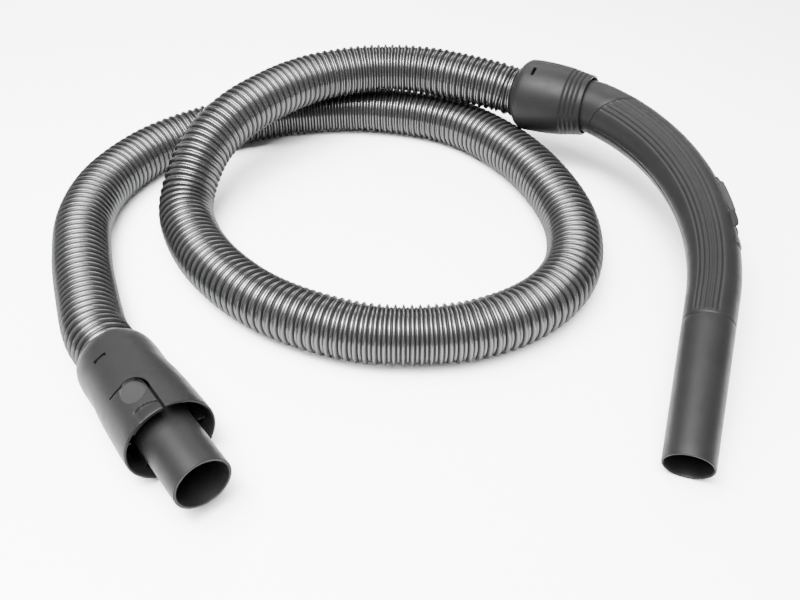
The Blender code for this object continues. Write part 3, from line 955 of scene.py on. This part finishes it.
def tube(grey):
    """The bent air tube, which shows at the neck and from the lower seam to the wand end."""
    hidden = GRIP_WALL + 0.0004
    seam = SEAM_UPPER - SEAM_GAP
    outside = [
        (STUB_START, STUB_RADIUS, 0.0),
        (FLANGE_LOW, STUB_RADIUS, 0.0),
        (FLANGE_LOW, FLANGE_RADIUS, 0.0),
        (FLANGE_HIGH, FLANGE_RADIUS, 0.0),
        (FLANGE_HIGH, STUB_RADIUS, 0.0),
        (0.0465, STUB_RADIUS, 0.0),
        (0.0560, 0.0213, 0.0),
        (0.0630, 0.0216, 0.0),
        (0.0700, tube_radius(0.0700), 0.0),
        (0.0760, tube_radius(0.0760), SEAM_SLANT * 0.25),
        (0.0820, tube_radius(0.0820), SEAM_SLANT * 0.5),
        (0.0880, tube_radius(0.0880), SEAM_SLANT * 0.75),
        (seam - 0.0006, tube_radius(seam), SEAM_SLANT),
        (seam - 0.0002, tube_radius(seam) - 0.0001, SEAM_SLANT),
        (seam, tube_radius(seam) - 0.0004, SEAM_SLANT),
        (seam, tube_radius(seam) - hidden, SEAM_SLANT),
    ]
    for length in spread(0.1120, 0.3200, 30):
        outside.append((length, tube_radius(length) - hidden, 0.0))
    low = SEAM_LOWER + SEAM_GAP
    outside += [
        (low, tube_radius(low) - hidden, 0.0),
        (low, tube_radius(low) - 0.0004, 0.0),
        (low + 0.0002, tube_radius(low) - 0.0001, 0.0),
        (low + 0.0006, tube_radius(low), 0.0),
    ]
    for length in spread(0.3300, HANDLE_LENGTH - 0.0010, 12):
        outside.append((length, tube_radius(length), 0.0))
    outside += [
        (HANDLE_LENGTH - 0.0004, 0.0159, 0.0),
        (HANDLE_LENGTH, 0.0156, 0.0),
        (HANDLE_LENGTH, 0.0149, 0.0),
        (HANDLE_LENGTH - 0.0005, 0.0146, 0.0),
    ]
    for length in spread(HANDLE_LENGTH - 0.0015, STUB_START, 44):
        outside.append((length, between(TUBE_BORE, length), 0.0))
    points = []
    for length, radius, slant in outside:
        points += ring(length, radius, TUBE_STEPS, slant)
    piece(
        "wand_tube",
        moved(points, HANDLE),
        grid_faces(len(outside), TUBE_STEPS, True, True),
        grey,
        "handle",
        ["bent_tube"],
    )


GRIP_WALL = 0.0020
GROOVE_DEPTH = 0.0006
GROOVE_HALF_WIDTH = 0.0015
GROOVE_TURNS = [-39.0 + 10.5 * step for step in range(6)]
GROOVES = [math.radians(turn) for turn in GROOVE_TURNS]


def grip_groove(length, start, turn, radius):
    """The depth of the finger grooves at this angle from the shell's middle."""
    fade = smooth_step(start + 0.0006, start + 0.0030, length)
    fade *= 1.0 - smooth_step(SEAM_LOWER - 0.0042, SEAM_LOWER - 0.0022, length)
    nearest = min(abs(turn - groove) for groove in GROOVES) * radius
    return GROOVE_DEPTH * fade * (1.0 - smooth_step(0.0001, GROOVE_HALF_WIDTH, nearest))


def groove_angles():
    """Angles round a shell, close together across each groove."""
    angles = set()
    for groove in GROOVE_TURNS:
        for offset in (-4.6, -3.6, -2.6, -1.6, -0.6, 0.6, 1.6, 2.6, 3.6, 4.6):
            angles.add(round(groove + offset, 3))
    angles |= {-90.0, -89.3, -88.2, 90.0, 89.3, 88.2}
    angles |= set(spread(-84.0, -48.0, 9)) | set(spread(22.0, 84.0, 16))
    return sorted(angles)


def shell(name, node, side, grey):
    """Half of the grip cover, with six long finger grooves."""
    turns = [math.radians(90.0 - turn) for turn in groove_angles()]
    count = len(turns)
    shares = [0.0, 0.0012, 0.003, 0.006, 0.010, *spread(0.014, 0.980, 96), 0.984, 0.988, 0.992]
    shares += [0.996, 0.9985, 1.0]
    rows = []
    edge = 0.00012
    for share in shares:
        outer = []
        inner = []
        for angle in turns:
            start = SEAM_UPPER + SEAM_SLANT * math.cos(angle)
            length = start + (SEAM_LOWER - start) * share
            radius = tube_radius(length)
            limit = edge / radius
            held = min(max(angle, limit), math.pi - limit)
            from_end = min(length - start, SEAM_LOWER - length)
            from_split = radius * min(held - limit, math.pi - limit - held)
            soften = 0.00035 * (1.0 - smooth_step(0.0, 0.0006, min(from_end, from_split)))
            turn = math.pi / 2 - angle
            depth = grip_groove(length, start, turn, radius)
            outer.append(handle_point(length, radius - soften - depth, side * held))
            inner.append(handle_point(length, radius - GRIP_WALL, side * held))
        rows.append(outer + inner[::-1])
    width = 2 * count
    points = [point for row in rows for point in row]
    faces = grid_faces(len(rows), width, False, True)
    for base in (0, (len(rows) - 1) * width):
        for index in range(count - 1):
            far = width - 1 - index
            faces.append((base + index, base + index + 1, base + far - 1, base + far))
    made = piece(name, moved(points, HANDLE), faces, grey, None, [node], 45.0)
    cut_with(made, [regulator_opening()])
    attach(made, "handle")


# The regulator's places along the handle, and its widths.
FRAME_START = 0.1970
FRAME_END = 0.2610
FRAME_HALF_WIDTH = 0.0125
TRACK_START = 0.2000
TRACK_END = 0.2440
TRACK_HALF_WIDTH = 0.0108
VENT_START = 0.2300
VENT_END = 0.2400
SLIDER_LENGTH = 0.0285
SLIDER_START = TRACK_START + 0.0003
SLIDER_END = SLIDER_START + SLIDER_LENGTH
PAD_START = TRACK_START + 0.0026
PAD_END = PAD_START + SLIDER_LENGTH - 0.0046
PAD_HALF_WIDTH = 0.0058
PAD_RIDGE_PITCH = 0.0018

# The height of the frame's side rails over the tube's crown, as (length, height).
RAIL_HEIGHTS = [
    (FRAME_START, 0.0002),
    (FRAME_START + 0.0009, 0.0008),
    (FRAME_START + 0.0018, 0.0013),
    (FRAME_START + 0.0026, 0.0010),
    (TRACK_START + 0.0006, 0.0003),
    (0.2285, 0.0002),
    (0.2289, -0.0030),
    (0.2312, -0.0030),
    (0.2317, 0.0015),
    (0.2340, 0.0021),
    (0.2400, 0.0022),
    (0.2430, 0.0016),
    (0.2450, 0.0006),
    (0.2462, 0.0002),
    (0.2500, 0.0007),
    (FRAME_END - 0.0020, 0.0008),
    (FRAME_END, 0.0001),
]

# The hollow below the track: its floor's height and half its width along the handle.
HOLLOW_FLOOR = [(0.2446, -0.0026), (0.2480, -0.0024), (0.2540, -0.0008), (FRAME_END, 0.0)]
HOLLOW_REACH = [(0.2446, 0.0118), (0.2500, 0.0110), (0.2530, 0.0080), (0.2570, 0.0044)]


def surface_point(length, across, rise):
    """A point over the handle's outer side, at a height above the tube's crown."""
    radius = tube_radius(length)
    return handle_point(length, radius + rise, 0.0) + Vector((0, across, 0))


def crown(length, across):
    """How far the tube's surface has dropped at this distance from its crown."""
    radius = tube_radius(length)
    return radius - math.sqrt(radius**2 - across**2)


def regulator_opening():
    """The rounded opening for the regulator's frame, as a cutter through the shells."""
    corner = 0.0040
    half = FRAME_HALF_WIDTH + 0.0002
    low, high = FRAME_START - 0.0002, FRAME_END + 0.0002
    outline = []
    for middle_s, middle_w, first in (
        (high - corner, half - corner, 0),
        (low + corner, half - corner, 90),
        (low + corner, -half + corner, 180),
        (high - corner, -half + corner, 270),
    ):
        for step in range(9):
            turn = math.radians(first + 90 * step / 8)
            along = middle_s + corner * math.cos(turn)
            outline.append((along, middle_w + corner * math.sin(turn)))
    refined = []
    for start, end in zip(outline, outline[1:] + outline[:1]):
        pieces = max(1, round(math.hypot(end[0] - start[0], end[1] - start[1]) / 0.003))
        for step in range(pieces):
            point = Vector(start).lerp(Vector(end), step / pieces)
            refined.append(tuple(point))
    layers = []
    for rise in (-0.0120, 0.0080):
        layers += [surface_point(length, across, rise) for length, across in refined]
    count = len(refined)
    points = moved(layers, HANDLE)
    faces = [tuple(range(count)), tuple(reversed(range(count, 2 * count)))]
    for index in range(count):
        after = (index + 1) % count
        faces.append((index, after, count + after, count + index))
    return points, faces


def frame_height(length, across):
    """The regulator frame's height field above the tube's crown."""
    wide = abs(across)
    drop = crown(length, across)
    guard = smooth_step(0.2313, 0.2318, length) * (1.0 - smooth_step(0.2444, 0.2460, length))
    rail = between(RAIL_HEIGHTS, length) - drop * (1.0 - 0.45 * guard)
    for line in (0.0113, 0.0121):
        rail -= 0.0011 * guard * math.exp(-(((wide - line) / 0.00025) ** 2))
    track = -0.0022 - 0.35 * drop
    inside = 1.0 - smooth_step(TRACK_HALF_WIDTH - 0.0001, TRACK_HALF_WIDTH + 0.0001, wide)
    along = smooth_step(TRACK_START - 0.0003, TRACK_START, length)
    along *= 1.0 - smooth_step(TRACK_END, TRACK_END + 0.0003, length)
    vent = 1.0 - smooth_step(0.0036, 0.0040, wide)
    vent *= smooth_step(VENT_START, VENT_START + 0.0004, length)
    vent *= 1.0 - smooth_step(VENT_END - 0.0004, VENT_END, length)
    floor = track - 0.0040 * vent
    height = rail + (floor - rail) * inside * along
    ramp_floor = between(HOLLOW_FLOOR, length)
    reach = between(HOLLOW_REACH, length)
    scoop = 1.0 - smooth_step(reach - 0.0008, reach, wide)
    past = smooth_step(TRACK_END + 0.0009, TRACK_END + 0.0012, length)
    height += (min(height, ramp_floor - drop) - height) * scoop * past
    bridge = smooth_step(TRACK_END - 0.0002, TRACK_END + 0.0001, length)
    bridge *= 1.0 - smooth_step(TRACK_END + 0.0008, TRACK_END + 0.0011, length)
    level = 0.0004 - 0.9 * drop
    bridge *= 1.0 - smooth_step(0.0106, 0.0112, wide)
    return height + (min(height, level) - height) * bridge


def height_piece(name, footprint, height, bottom, sizes, belongs):
    """A closed piece over the outer side: a height field on a rounded footprint."""
    start, end, half, corner = footprint
    rows, columns = sizes
    material, body, slot, node = belongs
    top = []
    base = []
    for length in spread(start, end, rows):
        from_end = min(length - start, end - length)
        width = half
        if from_end < corner:
            width = half - corner + math.sqrt(corner**2 - (corner - from_end) ** 2)
        for share in spread(-1.0, 1.0, columns):
            across = share * width
            rise = height(length, across)
            top.append(surface_point(length, across, rise))
            under = min(rise - 0.0004, bottom - crown(length, across))
            base.append(surface_point(length, across, under))
    count = rows * columns
    faces = grid_faces(rows, columns, False, False)
    faces += [tuple(count + index for index in reversed(face)) for face in faces]
    border = list(range(columns))
    border += [row * columns + columns - 1 for row in range(1, rows)]
    border += [(rows - 1) * columns + column for column in range(columns - 2, -1, -1)]
    border += [row * columns for row in range(rows - 2, 0, -1)]
    for first, second in zip(border, border[1:] + border[:1]):
        faces.append((first, second, count + second, count + first))
    points = moved(top + base, HANDLE)
    return piece(name, points, faces, material, body, [node], 35.0)


def slider_height(length, across):
    """The slider's body: tall flat sides, a softly crowned top and rounded ends."""
    from_end = min(length - SLIDER_START, SLIDER_END - length)
    top = 0.0019 - 0.4 * crown(length, across)
    top -= 0.0010 * (1.0 - smooth_step(0.0, 0.0014, from_end))
    return top - 2.4 * max(0.0, abs(across) - 0.0086)


def pad_height(length, across):
    """The grip pad: cross ridges on a crowned strip."""
    from_end = min(length - PAD_START, PAD_END - length)
    ridge = 0.5 + 0.5 * math.cos(2 * math.pi * (length - PAD_START) / PAD_RIDGE_PITCH)
    top = 0.0021 + 0.0006 * ridge - 0.4 * crown(length, across)
    edge = PAD_HALF_WIDTH - abs(across)
    return top - 0.0006 * (1.0 - smooth_step(0.0, 0.0008, min(from_end, edge)))


def regulator(grey, pale, knurled):
    """The suction regulator's frame, slider and pad."""
    height_piece(
        "regulator_surround",
        (FRAME_START, FRAME_END, FRAME_HALF_WIDTH, 0.0038),
        frame_height,
        -0.0030,
        (150, 97),
        (grey, "handle", "grey_plastic", "regulator_frame"),
    )
    height_piece(
        "regulator_slide",
        (SLIDER_START, SLIDER_END, TRACK_HALF_WIDTH - 0.0003, 0.0012),
        slider_height,
        -0.0016,
        (60, 61),
        (pale, "regulator", "grey_plastic", "regulator_slider"),
    )
    height_piece(
        "thumb_pad",
        (PAD_START, PAD_END, PAD_HALF_WIDTH, 0.0010),
        pad_height,
        0.0012,
        (110, 31),
        (knurled, "regulator", "pad_plastic", "slider_pad"),
    )


# ---------------------------------------------------------------- the whole


def carried_over(cream, rubber):
    """Finishes for the inner rings, cuffs, washers and seals of the solids."""
    for name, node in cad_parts.items():
        if name.startswith(("hose_cuff", "lock_ring", "bearing_ring")):
            node.data.materials.clear()
            node.data.materials.append(cream)
        if name.startswith(("seal_ring", "inlet_gasket")):
            node.data.materials.clear()
            node.data.materials.append(rubber)


camera()
studio()
hose()

grey_plastic = plastic("moulded_grey", 0.0056, 0.0066, (0.42, 0.50), 2600.0, 0.10)
slider_plastic = plastic("slider_grey", 0.015, 0.018, (0.50, 0.57), 2600.0, 0.10)
pad_plastic = plastic("pad_grey", 0.085, 0.100, (0.45, 0.52), 2600.0, 0.10)
# The press dimple's lighter colour is a painted sheen; its lower roughness and finer grain are
# real.
press_sheen_plastic = plastic("press_painted_sheen", 0.0115, 0.0130, (0.36, 0.42), 2600.0, 0.06)
inner_plastic = plastic("natural_plastic", 0.42, 0.50, (0.35, 0.45), 1800.0, 0.06)
seal_rubber = plastic("black_rubber", 0.005, 0.008, (0.60, 0.75), 1800.0, 0.15)

housing(grey_plastic)
latch("latch_tongue_top", "latch_button_top", 0, grey_plastic, press_sheen_plastic)
latch(
    "latch_tongue_bottom", "latch_button_bottom", 180, grey_plastic, press_sheen_plastic
)
spigot(grey_plastic)
collar(grey_plastic)
tube(grey_plastic)
shell("grip_cover_upper", "grip_shell_upper", 1, grey_plastic)
shell("grip_cover_lower", "grip_shell_lower", -1, grey_plastic)
regulator(grey_plastic, slider_plastic, pad_plastic)
carried_over(inner_plastic, seal_rubber)
